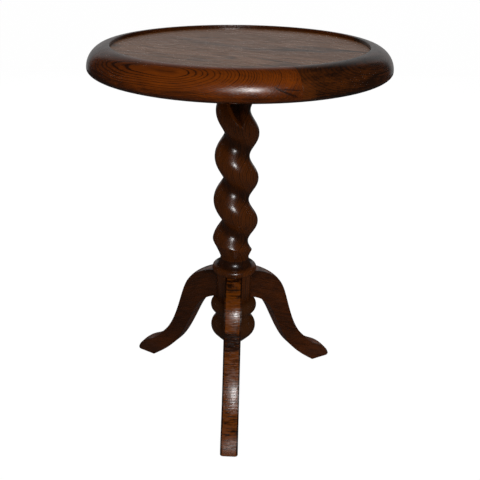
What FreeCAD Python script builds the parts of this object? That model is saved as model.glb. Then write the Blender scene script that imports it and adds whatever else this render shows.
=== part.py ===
import FreeCAD, Part
import math
import os

# Pedestal side table: a round tray top on a single barley-twist column with three S-shaped legs.
# Frame: +Z is up, the origin is on the floor under the column's axis, the front leg points to -Y.
# All sizes are in millimetres. Turns about the axis are counted from the front (-Y) towards +X,
# in degrees.

# Overall
table_height = 612.5        # floor to the top of the rim
top_radius = 230.0          # rim's widest outer radius
glue_gap = 0.15             # clearance all round a glued or driven fit
seat_gap = 0.3              # clearance where one piece is housed in another

# Rim, in four curved lengths
rim_height = 44.0           # from the rim's underside to its top
rim_drop = 32.0             # from the rim's top down to its widest line
rim_upper_inset = 33.5      # how far in the rounded face starts at the top
rim_lower_inset = 33.0      # how far in it ends on the underside
rim_width = 36.0            # from the widest outer radius in to the inner edge at the top
rim_inner_round = 1.5       # eased inner edge
rim_ledge = 13.0            # width of the ledge that carries the boards
rim_piece_count = 4
first_joint_degrees = 21.0  # place of the first joint
tongue_thickness = 6.0      # loose tongues across the rim's joints
tongue_width = 20.0         # along the radius
tongue_length = 26.0        # across the joint
tongue_from_edge = 24.0     # tongue's middle, in from the outer radius

# Tray boards
tray_recess = 5.0           # floor of the tray below the rim's top
board_thickness = 18.0
board_count = 5
board_degrees = -28.0       # run of the boards, turned from +X

# Bearer block under the boards and its screws
bearer_side = 170.0
bearer_thickness = 24.0
bearer_chamfer = 7.0
screw_from_edge = 24.0      # screw axis to the block's edges
screw_shank_radius = 2.4
screw_head_radius = 4.6
screw_head_depth = 3.2
screw_bite = 12.0           # length of screw in the boards
screw_slot_width = 1.1
screw_slot_depth = 1.2

# Column: top tenon and capital
tenon_radius = 16.0
wedge_thickness = 3.0       # wedge's upper, thicker end
wedge_thin_end = 1.0
wedge_depth = 19.0
capital_radius = 38.0
capital_edge = 5.0          # plain edge right under the bearer
capital_bead_radius = 32.0
capital_bead_height = 8.0
capital_bead_lift = 2.0     # bead's lower edge above the upper neck
capital_height = 20.0       # top shoulder down to the upper neck
upper_neck_radius = 21.5

# Column: barley twist, one left-hand strand
twist_pitch = 75.1
twist_degrees = 79.0        # direction of the crest at the height of the hub's bottom
crest_radius = 35.9         # at the height given next
root_radius = 20.9
twist_girth_height = 430.0  # where the two radii are measured
twist_taper = 0.0436        # share of the radius lost per 100 mm going up
twist_fullness = 0.55       # widens the strand and narrows the groove
lower_runout = 36.0         # height in which the strand runs out above the lower neck
upper_runout = 24.0
cup_softness = 2.5          # eases the edge where the strand meets the run-out
core_slope = 0.35           # how fast the round core gives way to the groove
section_point_count = 24
sections_per_turn = 16
neck_overlap = 2.0          # twist's surface starts this far inside the turned necks
neck_quirk = 0.3            # small step where the turned necks end

# Column: lower neck, collar and hub
neck_height = 256.0         # height of the lower neck above the floor
neck_radius = 23.8
collar_radius = 38.1
collar_bead_height = 13.3
collar_under_radius = 33.2  # bead's lower edge
collar_over_radius = 34.0   # bead's upper edge
hub_top = 228.0             # underside of the collar
hub_bottom = 175.0
hub_radius = 30.3

# Sliding dovetails, legs to hub
dovetail_depth = 13.0
dovetail_mouth = 11.0       # width at the hub's surface
dovetail_back = 15.0        # width at the deep end
dovetail_root = 3.0         # how far the bar reaches into the leg
dovetail_stop = 8.0         # socket's top below the collar

# Legs
leg_count = 3
leg_thickness = 28.5
leg_reach = 211.0           # toe's tip from the axis
heel_reach = 171.5          # back of the sole from the axis
toe_radius = 3.0
leg_edge_round = 1.5
# Shares of the way from the hub to the toe and of the leg's height, along the outer edge
leg_outer_line = [(0.0, 1.0), (0.098, 0.978), (0.195, 0.939), (0.292, 0.8795), (0.359, 0.798),
                  (0.398, 0.716), (0.445, 0.595), (0.5, 0.47), (0.59, 0.3325), (0.6625, 0.26),
                  (0.765, 0.18), (0.856, 0.138), (0.928, 0.099), (0.972, 0.057)]
# Shares of the way from the hub to the heel and of the hub's bottom height, along the inner edge
leg_inner_line = [(0.0, 1.0), (0.125, 0.949), (0.249, 0.851), (0.351, 0.699), (0.484, 0.468),
                  (0.621, 0.283), (0.814, 0.1206), (1.0, 0.0)]

# Turned drop under the hub: a bead, a neck and a bun that ends in a blunt point
drop_bead_radius = 40.0
drop_bead_height = 25.5
drop_neck_radius = 28.7
drop_neck_height = 12.0
drop_bun_radius = 39.2
drop_bun_height = 31.5
drop_point_height = 29.0
drop_tip_radius = 11.0      # where the point starts to round over
drop_tip_flat = 2.5         # small flat left at the very point
drop_land = 1.3             # drop's flat top inside the hub's edge
spigot_radius = 10.0
spigot_length = 26.0

up = FreeCAD.Vector(0, 0, 1)
origin = FreeCAD.Vector(0, 0, 0)

front_degrees = -90.0       # the front's direction, counted from +X as the axis turns

# Sizes that follow
rim_inner_radius = top_radius - rim_width
rim_bottom = table_height - rim_height
tray_floor = table_height - tray_recess
board_bottom = tray_floor - board_thickness
bearer_bottom = board_bottom - bearer_thickness
upper_neck = bearer_bottom - capital_height


def point(radius, height):
    return FreeCAD.Vector(radius, 0, height)


def line(a, b):
    return Part.makeLine(a, b)


def arc(a, middle, b):
    return Part.Arc(a, middle, b).toShape()


def spun(edges, degrees=360.0, start=0.0):
    """A solid turned about the axis from a closed outline in the XZ plane."""
    face = Part.Face(Part.Wire(edges))
    if start:
        face.rotate(origin, up, start)
    return face.revolve(origin, up, degrees)


def turned_from_front(shape, degrees):
    """Turns a shape made towards -Y by an angle counted from the front towards +X."""
    copy = shape.copy()
    copy.rotate(origin, up, degrees)
    return copy


def cleaned(shape):
    """One solid with merged faces."""
    return shape.removeSplitter().Solids[0]


def save(name, shape):
    shape.exportStep("parts/" + name + ".step")
    print(name, len(shape.Solids), "solid(s)", round(shape.Volume / 1000.0, 2), "cm3", shape.isValid())


def quarter_oval(a, corner, b):
    """Quarter of an ellipse from a to b that bulges towards a corner."""
    curve = Part.BezierCurve()
    curve.setPoles([a, corner, b])
    curve.setWeight(2, math.sqrt(0.5))
    return curve.toShape()


def rim_outline():
    """Rounded outside, long above its widest line and short below, with a ledge for the boards inside."""
    widest = table_height - rim_drop
    ledge_radius = rim_inner_radius - rim_ledge
    side = point(top_radius, widest)
    top_edge = point(top_radius - rim_upper_inset, table_height)
    low_edge = point(top_radius - rim_lower_inset, rim_bottom)
    inner_top = point(rim_inner_radius + rim_inner_round, table_height)
    inner_low = point(rim_inner_radius, table_height - rim_inner_round)
    diagonal = rim_inner_round * (1 - math.sqrt(0.5))
    inner_mid = point(rim_inner_radius + diagonal, table_height - diagonal)
    corners = [inner_low, point(rim_inner_radius, board_bottom), point(ledge_radius, board_bottom),
               point(ledge_radius, rim_bottom), low_edge]
    edges = [quarter_oval(top_edge, point(top_radius, table_height), side),
             quarter_oval(side, point(top_radius, rim_bottom), low_edge),
             line(top_edge, inner_top), arc(inner_top, inner_mid, inner_low)]
    edges += [line(a, b) for a, b in zip(corners, corners[1:])]
    return Part.__sortEdges__(edges)


def tongue(gap):
    """Loose tongue across a joint at the front, grown by a gap for its groove."""
    width = tongue_width + 2 * gap
    length = tongue_length + 2 * gap
    thickness = tongue_thickness + 2 * gap
    middle = (board_bottom + rim_bottom) / 2
    radius = top_radius - tongue_from_edge
    corner = FreeCAD.Vector(-length / 2, -radius - width / 2, middle - thickness / 2)
    return Part.makeBox(length, width, thickness, corner)


def joint_turns():
    step = 360.0 / rim_piece_count
    return [first_joint_degrees + step * i for i in range(rim_piece_count)]


def rim_pieces():
    """Curved lengths of the rim, butted at the joints and grooved for the tongues."""
    step = 360.0 / rim_piece_count
    grooves = Part.makeCompound([turned_from_front(tongue(glue_gap), turn) for turn in joint_turns()])
    pieces = []
    for turn in joint_turns():
        piece = spun(rim_outline(), step, turn + front_degrees)
        pieces.append(cleaned(piece.cut(grooves)))
    return pieces


def rim_tongues():
    return Part.makeCompound([turned_from_front(tongue(0), turn) for turn in joint_turns()])


def bearer_frame(shape):
    """Turns a shape so that its sides lie along and across the boards."""
    copy = shape.copy()
    copy.rotate(origin, up, board_degrees)
    return copy


def screw_places():
    reach = bearer_side / 2 - screw_from_edge
    return [FreeCAD.Vector(x, y, bearer_bottom) for x in (-reach, reach) for y in (-reach, reach)]


def screw_solid(place, gap):
    """Countersunk wood screw from below, or the hole for one."""
    length = bearer_thickness + screw_bite
    shank = Part.makeCylinder(screw_shank_radius + gap, length + gap, place, up)
    head = Part.makeCone(screw_head_radius + gap, screw_shank_radius + gap, screw_head_depth, place, up)
    return shank.fuse(head)


def tray_boards():
    """Boards cut to the circle of the rim's rabbet, with pilot holes for the bearer's screws."""
    radius = rim_inner_radius - seat_gap
    disc = Part.makeCylinder(radius, board_thickness, FreeCAD.Vector(0, 0, board_bottom), up)
    holes = Part.makeCompound([screw_solid(place, glue_gap) for place in screw_places()])
    width = 2 * radius / board_count
    boards = []
    for i in range(board_count):
        corner = FreeCAD.Vector(-radius - 1, -radius + i * width, board_bottom - 1)
        strip = Part.makeBox(2 * radius + 2, width, board_thickness + 2, corner)
        board = disc.common(strip).cut(holes)
        boards.append(bearer_frame(cleaned(board)))
    return boards


def bearer():
    """Square block with its lower edges chamfered and a hole for the column's tenon."""
    half = bearer_side / 2
    block = Part.makeBox(bearer_side, bearer_side, bearer_thickness, FreeCAD.Vector(-half, -half, bearer_bottom))
    lower = [e for e in block.Edges if abs(e.BoundBox.ZMax - bearer_bottom) < 0.01]
    block = block.makeChamfer(bearer_chamfer, lower)
    mortise = Part.makeCylinder(tenon_radius + glue_gap, bearer_thickness, FreeCAD.Vector(0, 0, bearer_bottom), up)
    holes = [screw_solid(place, glue_gap) for place in screw_places()]
    return bearer_frame(cleaned(block.cut([mortise] + holes)))


def bearer_screws():
    screws = []
    for place in screw_places():
        corner = place - FreeCAD.Vector(screw_head_radius + 1, screw_slot_width / 2, 1)
        slot = Part.makeBox(2 * screw_head_radius + 2, screw_slot_width, screw_slot_depth + 1, corner)
        screws.append(bearer_frame(cleaned(screw_solid(place, 0).cut(slot))))
    return Part.makeCompound(screws)


def softer(a, b, size):
    """The smaller of two sizes, with the corner between them eased."""
    h = max(0.0, min(1.0, 0.5 + 0.5 * (b - a) / size))
    return b + (a - b) * h - size * h * (1 - h)


def strand_radius(phase, height):
    """Radius of the twisted column at a share of a turn from the crest."""
    mean = (crest_radius + root_radius) / 2
    swing = (crest_radius - root_radius) / 2
    wave = math.cos(2 * math.pi * phase) * swing + twist_fullness * (1 - math.cos(4 * math.pi * phase))
    girth = 1 - twist_taper * (height - twist_girth_height) / 100.0
    full = (mean + wave) * girth
    above = max(0.0, height - neck_height) / lower_runout
    below = max(0.0, upper_neck - height) / upper_runout
    lower_cup = neck_radius + (crest_radius * 1.12 - neck_radius) * above ** 1.15
    upper_cup = upper_neck_radius + (crest_radius * 1.05 - upper_neck_radius) * below ** 0.8
    lower_core = neck_radius - core_slope * max(0.0, height - neck_height)
    upper_core = upper_neck_radius - core_slope * max(0.0, upper_neck - height)
    carved = softer(full, min(lower_cup, upper_cup), cup_softness)
    return max(carved, lower_core, upper_core)


def section_points(height):
    """Points round the column at one height, the first one on the strand's crest."""
    crest = math.radians(twist_degrees + front_degrees) - 2 * math.pi * (height - hub_bottom) / twist_pitch
    points = []
    for k in range(section_point_count):
        phase = k / section_point_count
        radius = strand_radius(phase, height)
        angle = crest + 2 * math.pi * phase
        points.append(FreeCAD.Vector(radius * math.cos(angle), radius * math.sin(angle), height))
    return points


def twisted_length():
    """Strand between the two necks: one smooth surface through sections that turn with the height."""
    low = neck_height - neck_overlap
    high = upper_neck + neck_overlap
    rows = int(math.ceil((high - low) / twist_pitch * sections_per_turn)) + 1
    ring_turns = [float(k) for k in range(section_point_count + 1)]
    row_turns = [float(i) for i in range(rows)]
    rings = []
    for i in range(rows):
        ring = Part.BSplineCurve()
        points = section_points(low + (high - low) * i / (rows - 1))
        ring.interpolate(Points=points, PeriodicFlag=True, Parameters=ring_turns)
        rings.append(ring)
    columns = []
    for poles in zip(*[ring.getPoles() for ring in rings]):
        rise = Part.BSplineCurve()
        rise.interpolate(Points=list(poles), Parameters=row_turns)
        columns.append(rise)
    surface = Part.BSplineSurface()
    surface.buildFromPolesMultsKnots([rise.getPoles() for rise in columns],
                                     rings[0].getMultiplicities(), columns[0].getMultiplicities(),
                                     rings[0].getKnots(), columns[0].getKnots(),
                                     True, False, rings[0].Degree, columns[0].Degree)
    side = surface.toShape()
    ends = [edge for edge in side.Edges if edge.BoundBox.ZLength < 0.01]
    shell = Part.makeShell([side] + [Part.Face(Part.Wire(edge)) for edge in ends])
    shell.sewShape()
    solid = Part.Solid(shell)
    if solid.Volume < 0:
        solid.reverse()
    return solid


def column_foot():
    """Lower neck, cove, collar bead and plain hub, turned in one."""
    bead_top = hub_top + collar_bead_height
    bead_middle = point(collar_radius, hub_top + collar_bead_height * 0.53)
    cove_depth = (collar_over_radius - neck_radius) * 0.35
    cove_middle = point(neck_radius + cove_depth, bead_top + (neck_height - bead_top) * 0.36)
    edges = [line(point(0, hub_bottom), point(hub_radius, hub_bottom)),
             line(point(hub_radius, hub_bottom), point(hub_radius, hub_top)),
             line(point(hub_radius, hub_top), point(collar_under_radius, hub_top)),
             arc(point(collar_under_radius, hub_top), bead_middle, point(collar_over_radius, bead_top)),
             arc(point(collar_over_radius, bead_top), cove_middle, point(neck_radius + neck_quirk, neck_height)),
             line(point(neck_radius + neck_quirk, neck_height), point(0, neck_height)),
             line(point(0, neck_height), point(0, hub_bottom))]
    return spun(edges)


def column_head():
    """Upper neck, small bead, cove and plain edge, with the round tenon above."""
    edge_low = bearer_bottom - capital_edge
    bead_low = upper_neck + capital_bead_lift
    bead_top = bead_low + capital_bead_height
    swell = capital_bead_radius - upper_neck_radius
    bead_root = upper_neck_radius + swell * 0.5
    cove_middle = point(bead_root + 1.5, bead_top + (edge_low - bead_top) * 0.65)
    tenon_top = board_bottom - seat_gap
    edges = [line(point(0, upper_neck), point(upper_neck_radius + neck_quirk, upper_neck)),
             arc(point(upper_neck_radius + neck_quirk, upper_neck),
                 point(upper_neck_radius + 1.5, upper_neck + 1.6), point(bead_root, bead_low)),
             arc(point(bead_root, bead_low), point(capital_bead_radius, (bead_low + bead_top) / 2),
                 point(bead_root, bead_top)),
             arc(point(bead_root, bead_top), cove_middle, point(capital_radius, edge_low)),
             line(point(capital_radius, edge_low), point(capital_radius, bearer_bottom)),
             line(point(capital_radius, bearer_bottom), point(tenon_radius, bearer_bottom)),
             line(point(tenon_radius, bearer_bottom), point(tenon_radius, tenon_top)),
             line(point(tenon_radius, tenon_top), point(0, tenon_top)),
             line(point(0, tenon_top), point(0, upper_neck))]
    return spun(edges)


def wedge(gap):
    """Wedge across the tenon's end, thick end up; its slot when grown by a gap."""
    top = board_bottom - seat_gap
    thick = wedge_thickness / 2 + gap
    thin = wedge_thin_end / 2 + gap
    reach = math.sqrt(tenon_radius ** 2 - thick ** 2)
    outline = [FreeCAD.Vector(-reach, -thick, top), FreeCAD.Vector(-reach, thick, top),
               FreeCAD.Vector(-reach, thin, top - wedge_depth), FreeCAD.Vector(-reach, -thin, top - wedge_depth)]
    face = Part.Face(Part.makePolygon(outline + outline[:1]))
    return bearer_frame(face.extrude(FreeCAD.Vector(2 * reach, 0, 0)))


def dovetail(gap, low, high):
    """Dovetail bar towards the front, narrow at the hub's surface; its socket when grown by a gap."""
    mouth = dovetail_mouth / 2 + gap
    back = dovetail_back / 2 + gap
    deep = hub_radius - dovetail_depth - gap
    # the bar starts inside the leg's own thickness, so that the two fuse
    out = hub_radius + dovetail_root
    slope = (back - mouth) / dovetail_depth
    near = mouth - slope * dovetail_root
    outline = [FreeCAD.Vector(-near, -out, low), FreeCAD.Vector(near, -out, low),
               FreeCAD.Vector(back, -deep, low), FreeCAD.Vector(-back, -deep, low)]
    face = Part.Face(Part.makePolygon(outline + outline[:1]))
    return face.extrude(FreeCAD.Vector(0, 0, high - low))


def leg_turns():
    return [360.0 / leg_count * i for i in range(leg_count)]


def column():
    """One turning: foot, twist and head, with three dovetail sockets and the bore for the drop."""
    stock = column_foot().fuse([twisted_length(), column_head()])
    sockets = [turned_from_front(dovetail(glue_gap, hub_bottom - 1, hub_top - dovetail_stop), turn)
               for turn in leg_turns()]
    bore = Part.makeCylinder(spigot_radius + glue_gap, spigot_length + seat_gap,
                             FreeCAD.Vector(0, 0, hub_bottom), up)
    return cleaned(stock.cut(sockets + [bore, wedge(0)]))


def leg_face():
    """Side view of a leg towards the front, as a face in the YZ plane."""
    height = hub_top - seat_gap
    inside = hub_radius * 0.8

    def place(radius, z):
        return FreeCAD.Vector(0, -radius, z)

    outer_points = [place(hub_radius + (leg_reach - hub_radius) * a, height * b) for a, b in leg_outer_line]
    inner_points = [place(hub_radius + (heel_reach - hub_radius) * a, hub_bottom * b) for a, b in leg_inner_line]
    outer = Part.BSplineCurve()
    outer.interpolate(outer_points)
    inner = Part.BSplineCurve()
    inner.interpolate(inner_points)
    toe_top = outer_points[-1]
    toe_side = place(leg_reach, toe_radius)
    toe_low = place(leg_reach - toe_radius, 0)
    toe_corner = place(leg_reach - toe_radius * (1 - math.sqrt(0.5)), toe_radius * (1 - math.sqrt(0.5)))
    toe_bend = place((leg_reach + hub_radius + (leg_reach - hub_radius) * leg_outer_line[-1][0]) / 2 + 0.4,
                     (toe_top.z + toe_radius) / 2)
    top_in = place(inside, height)
    low_in = place(inside, hub_bottom)
    edges = [outer.toShape(), arc(toe_top, toe_bend, toe_side), arc(toe_side, toe_corner, toe_low),
             line(toe_low, inner_points[-1]), inner.toShape(), line(inner_points[0], low_in),
             line(low_in, top_in), line(top_in, outer_points[0])]
    return Part.Face(Part.Wire(Part.__sortEdges__(edges)))


def leg():
    """Flat board sawn to an S, hollowed to the round hub, with a dovetail tongue and eased edges."""
    board = leg_face()
    board.translate(FreeCAD.Vector(-leg_thickness / 2, 0, 0))
    board = board.extrude(FreeCAD.Vector(leg_thickness, 0, 0))
    long_edges = []
    for edge in board.Edges:
        box = edge.BoundBox
        on_face = box.XLength < 0.01 and abs(abs(box.XMin) - leg_thickness / 2) < 0.01
        if on_face and box.YMin < -hub_radius - 2 and box.ZMax > toe_radius + 1:
            long_edges.append(edge)
    board = board.makeFillet(leg_edge_round, long_edges)
    hub = Part.makeCylinder(hub_radius + glue_gap, table_height)
    board = board.cut(hub)
    tongue_bar = dovetail(0, hub_bottom + seat_gap, hub_top - dovetail_stop - seat_gap)
    return cleaned(board.fuse(tongue_bar))


def drop():
    """Bead, neck and bun turned in one, with a spigot that fits the hub's bore."""
    top = hub_bottom
    land = hub_radius - drop_land
    bead_low = top - drop_bead_height
    neck_low = bead_low - drop_neck_height
    bun_low = neck_low - drop_bun_height
    tip = bun_low - drop_point_height
    bead_root = drop_neck_radius + 1.3
    bun_shoulder = drop_bun_radius * 0.85
    edges = [line(point(0, top + spigot_length), point(spigot_radius, top + spigot_length)),
             line(point(spigot_radius, top + spigot_length), point(spigot_radius, top)),
             line(point(spigot_radius, top), point(land, top)),
             arc(point(land, top), point(drop_bead_radius, top - drop_bead_height * 0.46), point(bead_root, bead_low)),
             arc(point(bead_root, bead_low), point(drop_neck_radius, (bead_low + neck_low) / 2),
                 point(bead_root + 0.2, neck_low)),
             arc(point(bead_root + 0.2, neck_low), point(drop_bun_radius, neck_low - drop_bun_height * 0.46),
                 point(bun_shoulder, bun_low)),
             arc(point(bun_shoulder, bun_low),
                 point((bun_shoulder + drop_tip_radius) / 2 + 1.2, bun_low - drop_point_height * 0.38),
                 point(drop_tip_radius, tip + drop_point_height * 0.23)),
             arc(point(drop_tip_radius, tip + drop_point_height * 0.23),
                 point(drop_tip_radius * 0.62, tip + drop_point_height * 0.08), point(drop_tip_flat, tip)),
             line(point(drop_tip_flat, tip), point(0, tip)),
             line(point(0, tip), point(0, top + spigot_length))]
    return spun(edges)


os.makedirs("parts", exist_ok=True)

for number, piece in enumerate(rim_pieces(), 1):
    save("rim_piece_%d" % number, piece)
save("rim_tongues", rim_tongues())
for number, board in enumerate(tray_boards(), 1):
    save("tray_board_%d" % number, board)
save("bearer_block", bearer())
save("bearer_screws", bearer_screws())
save("column", column())
save("tenon_wedge", wedge(0))
save("drop_finial", drop())
leg_names = ["leg_front", "leg_right", "leg_left"]
for name, turn in zip(leg_names, leg_turns()):
    save(name, turned_from_front(leg(), turn))
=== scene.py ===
import math

import bmesh
import bpy
from mathutils import Matrix, Vector


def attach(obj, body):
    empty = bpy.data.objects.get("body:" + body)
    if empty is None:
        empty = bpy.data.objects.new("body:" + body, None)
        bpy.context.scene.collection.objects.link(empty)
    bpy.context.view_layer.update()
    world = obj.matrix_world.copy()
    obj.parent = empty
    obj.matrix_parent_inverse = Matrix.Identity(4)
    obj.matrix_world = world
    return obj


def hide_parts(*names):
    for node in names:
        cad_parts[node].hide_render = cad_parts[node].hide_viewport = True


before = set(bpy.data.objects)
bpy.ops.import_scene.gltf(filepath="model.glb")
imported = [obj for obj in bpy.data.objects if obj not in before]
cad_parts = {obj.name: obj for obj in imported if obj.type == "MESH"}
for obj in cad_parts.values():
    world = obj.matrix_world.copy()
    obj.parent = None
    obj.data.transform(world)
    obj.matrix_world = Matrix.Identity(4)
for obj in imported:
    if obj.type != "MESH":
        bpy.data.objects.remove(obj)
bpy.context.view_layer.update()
scene = bpy.context.scene
scene.view_settings.view_transform = "Standard"


# Camera: it stands a good metre in front of the column, just to the right of the front leg, and
# looks down on the table at 25 degrees. A lens shift puts the table in the middle of the picture.
camera_place = Vector((0.01045, -1.07698, 0.77726))
camera_pitch = 0.42890
camera_pan = -0.04777
camera_roll = 0.00662
sensor_width = 36.0
picture_pixels = 480.0
focal_pixels = 695.33
shift_pixels = 29.18
ahead = Vector((math.sin(camera_pan) * math.cos(camera_pitch),
                math.cos(camera_pan) * math.cos(camera_pitch),
                -math.sin(camera_pitch)))
level = Vector((math.cos(camera_pan), -math.sin(camera_pan), 0.0))
above = level.cross(ahead)
camera_right = math.cos(camera_roll) * level + math.sin(camera_roll) * above
camera_up = math.cos(camera_roll) * above - math.sin(camera_roll) * level
camera_data = bpy.data.cameras.new("camera")
camera_data.sensor_fit = "HORIZONTAL"
camera_data.sensor_width = sensor_width
camera_data.lens = sensor_width * focal_pixels / picture_pixels
camera_data.shift_x = shift_pixels / picture_pixels
camera_data.clip_start = 0.05
camera = bpy.data.objects.new("camera", camera_data)
camera_turn = Matrix((camera_right, camera_up, -ahead)).transposed().to_4x4()
camera.matrix_world = Matrix.Translation(camera_place) @ camera_turn
scene.collection.objects.link(camera)
scene.camera = camera


# Studio: a white floor sheet, a white screen behind the table that is mirrored less and less with
# height, and in front, a little to the right, a small bright lamp beside a wide weak one. The fills
# light every side and aren't mirrored.
def lamp(name, place, aim_height, width, height, watts, mirrored=False):
    """A rectangular lamp that faces a point on the table's axis."""
    data = bpy.data.lights.new(name, "AREA")
    data.shape = "RECTANGLE"
    data.size = width
    data.size_y = height
    data.energy = watts
    made = bpy.data.objects.new(name, data)
    backwards = Vector(place) - Vector((0.0, 0.0, aim_height))
    facing = backwards.to_track_quat("Z", "Y").to_matrix().to_4x4()
    made.matrix_world = Matrix.Translation(place) @ facing
    made.visible_glossy = mirrored
    scene.collection.objects.link(made)


lamp("bright_lamp", (0.45, -2.6, 1.85), 0.4, 0.5, 0.6, 31.0, mirrored=True)
lamp("wide_lamp", (0.10, -2.7, 1.80), 0.4, 1.1, 0.6, 10.0, mirrored=True)
lamp("front_fill", (0.35, -2.4, 1.15), 0.4, 1.2, 1.2, 36.0)
lamp("back_fill", (-0.4, 2.3, 1.5), 0.4, 2.0, 1.2, 52.0)
lamp("left_fill", (-2.6, 0.5, 1.1), 0.3, 1.0, 1.2, 26.0)
lamp("right_fill", (2.6, 0.5, 1.1), 0.3, 1.0, 1.2, 28.0)


class Sum:
    """A value inside a node tree, so that a formula on it can be written as plain arithmetic."""

    def __init__(self, tree, socket=None):
        self.tree = tree
        self.socket = socket

    @staticmethod
    def pick(sockets, key):
        """The socket with this number or name, of those in use."""
        in_use = [s for s in sockets if s.enabled]
        return in_use[key] if isinstance(key, int) else next(s for s in in_use if s.name == key)

    def node(self, kind, settings=None, inputs=None, output=0):
        """Adds one node: its settings first, then the values or links of its sockets."""
        made = self.tree.nodes.new(kind)
        for name, setting in (settings or {}).items():
            if name == "stops":
                ramp = made.color_ramp
                while len(ramp.elements) < len(setting):
                    ramp.elements.new(0.5)
                for element, (position, shade) in zip(ramp.elements, setting):
                    element.position = position
                    element.color = (shade, shade, shade, 1.0)
            else:
                setattr(made, name, setting)
        for name, value in (inputs or {}).items():
            target = self.pick(made.inputs, name)
            if isinstance(value, Sum):
                self.tree.links.new(value.socket, target)
            else:
                target.default_value = value
        return Sum(self.tree, self.pick(made.outputs, output))

    def feed(self, target):
        """Links the value to a socket of a node that was there before."""
        self.tree.links.new(self.socket, target)

    def formula(self, operation, *values):
        """A Math node on any values."""
        return self.node("ShaderNodeMath", {"operation": operation}, dict(enumerate(values)))

    def math(self, operation, *others):
        """A Math node on this value and others."""
        return self.formula(operation, self, *others)

    def __abs__(self):
        return self.math("ABSOLUTE")

    def __add__(self, other):
        return self.math("ADD", other)

    def __radd__(self, other):
        return self.formula("ADD", other, self)

    def __sub__(self, other):
        return self.math("SUBTRACT", other)

    def __rsub__(self, other):
        return self.formula("SUBTRACT", other, self)

    def __mul__(self, other):
        return self.math("MULTIPLY", other)

    def __rmul__(self, other):
        return self.formula("MULTIPLY", other, self)

    def __truediv__(self, other):
        return self.math("DIVIDE", other)

    def __rtruediv__(self, other):
        return self.formula("DIVIDE", other, self)

    def parts(self):
        """The three numbers of a vector."""
        first = self.node("ShaderNodeSeparateXYZ", {}, {"Vector": self})
        return [Sum(self.tree, s) for s in first.socket.node.outputs]

    def between(self, low, high):
        """0 below low, 1 above high and a smooth rise in between."""
        return self.node("ShaderNodeMapRange", {"interpolation_type": "SMOOTHSTEP"},
                         {"Value": self, "From Min": low, "From Max": high}, "Result")


def ray_kind(graph, kind):
    """1 where this kind of ray meets the surface."""
    return graph.node("ShaderNodeLightPath", {}, {}, kind)


def new_mesh(name, points, faces, edges=()):
    """A mesh of points, and of faces or edges between them."""
    mesh = bpy.data.meshes.new(name)
    mesh.from_pydata(points, edges, faces)
    return mesh


# How much of a sheet is its own glow to the camera, and how bright that glow is.
glow_share = 0.94
glow_strength = 1.05


def stage_sheet(name, corners, shade, mirrored, fade):
    """A flat sheet that is white to the camera, keeps a little of the table's shadow, and shows at
    another strength in reflections, which fades out between two heights."""
    sheet = bpy.data.objects.new(name, new_mesh(name, corners, [(0, 1, 2, 3)]))
    scene.collection.objects.link(sheet)
    material = bpy.data.materials.new(name)
    material.use_nodes = True
    tree = material.node_tree
    tree.nodes.remove(tree.nodes["Principled BSDF"])
    graph = Sum(tree)
    seen = ray_kind(graph, "Is Camera Ray")
    bounced = ray_kind(graph, "Is Glossy Ray") + ray_kind(graph, "Is Transmission Ray")
    height = graph.node("ShaderNodeTexCoord", {}, {}, "Object").parts()[2]
    mirror_level = (1 - height.between(*fade)) * mirrored
    paper = graph.node("ShaderNodeBsdfDiffuse", {}, {"Color": (shade, shade, shade, 1.0)})
    strength = seen * glow_strength + bounced * mirror_level
    white = graph.node("ShaderNodeEmission", {},
                       {"Color": (1.0, 1.0, 1.0, 1.0), "Strength": strength})
    mixed = graph.node("ShaderNodeMixShader", {},
                       {0: seen * glow_share + bounced, 1: paper, 2: white})
    mixed.feed(tree.nodes["Material Output"].inputs["Surface"])
    sheet.data.materials.append(material)


side_edge = 2.2
front_edge = -0.9
back_edge = 2.9
screen_top = 4.0
stage_sheet("floor", [(-side_edge, front_edge, 0.0), (side_edge, front_edge, 0.0),
                      (side_edge, back_edge, 0.0), (-side_edge, back_edge, 0.0)],
            shade=0.4, mirrored=0.03, fade=(1.0, 2.0))
stage_sheet("screen", [(-side_edge, back_edge, 0.0), (side_edge, back_edge, 0.0),
                       (side_edge, back_edge, screen_top), (-side_edge, back_edge, screen_top)],
            shade=0.2, mirrored=0.355, fade=(1.2, 4.0))

# The room beyond the sheets is white to the camera and lights the table only faintly.
world = bpy.data.worlds.new("room")
world.use_nodes = True
scene.world = world
room = Sum(world.node_tree)
room_background = world.node_tree.nodes["Background"].inputs
room_level = 0.02 + ray_kind(room, "Is Camera Ray") * 0.98 + ray_kind(room, "Is Diffuse Ray") * 0.10
room_level.feed(room_background["Strength"])
room_background["Color"].default_value = (1.0, 1.0, 1.0, 1.0)


# Rim: four curved lengths of dark-stained oak, butted end to end and shaped to a long round above
# and a short one below. Each was sawn from a flat board, so the growth rings draw long ovals where
# its face bulges out and close upright lines towards its ends.
def new_finish(name):
    """A new material, the start of its values, its place on the object and its shader's sockets."""
    material = bpy.data.materials.new(name)
    material.use_nodes = True
    graph = Sum(material.node_tree)
    place = graph.node("ShaderNodeTexCoord", {}, {}, "Object")
    return material, graph, place, material.node_tree.nodes["Principled BSDF"].inputs


def noise(graph, place, scale, detail, rough=0.5):
    """Cloudy noise from 0 to 1, with that many spots to the metre."""
    return graph.node("ShaderNodeTexNoise", {},
                      {"Vector": place, "Scale": scale, "Detail": detail, "Roughness": rough})


def line_noise(graph, along, detail):
    """Noise from 0 to 1 that changes with one value only."""
    return graph.node("ShaderNodeTexNoise", {"noise_dimensions": "1D"},
                      {"W": along, "Scale": 1.0, "Detail": detail})


def blend(graph, share, first, second):
    """A colour between two others."""
    return graph.node("ShaderNodeMix", {"data_type": "RGBA"},
                      {"Factor": share, "A": (*first, 1.0), "B": (*second, 1.0)}, "Result")


# How dark one year's growth is, from its row of spring pores to the next.
year_tones = [(0.0, 0.9), (0.08, 1.0), (0.19, 0.35), (0.36, 0.08), (0.88, 0.12), (1.0, 0.9)]

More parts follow.
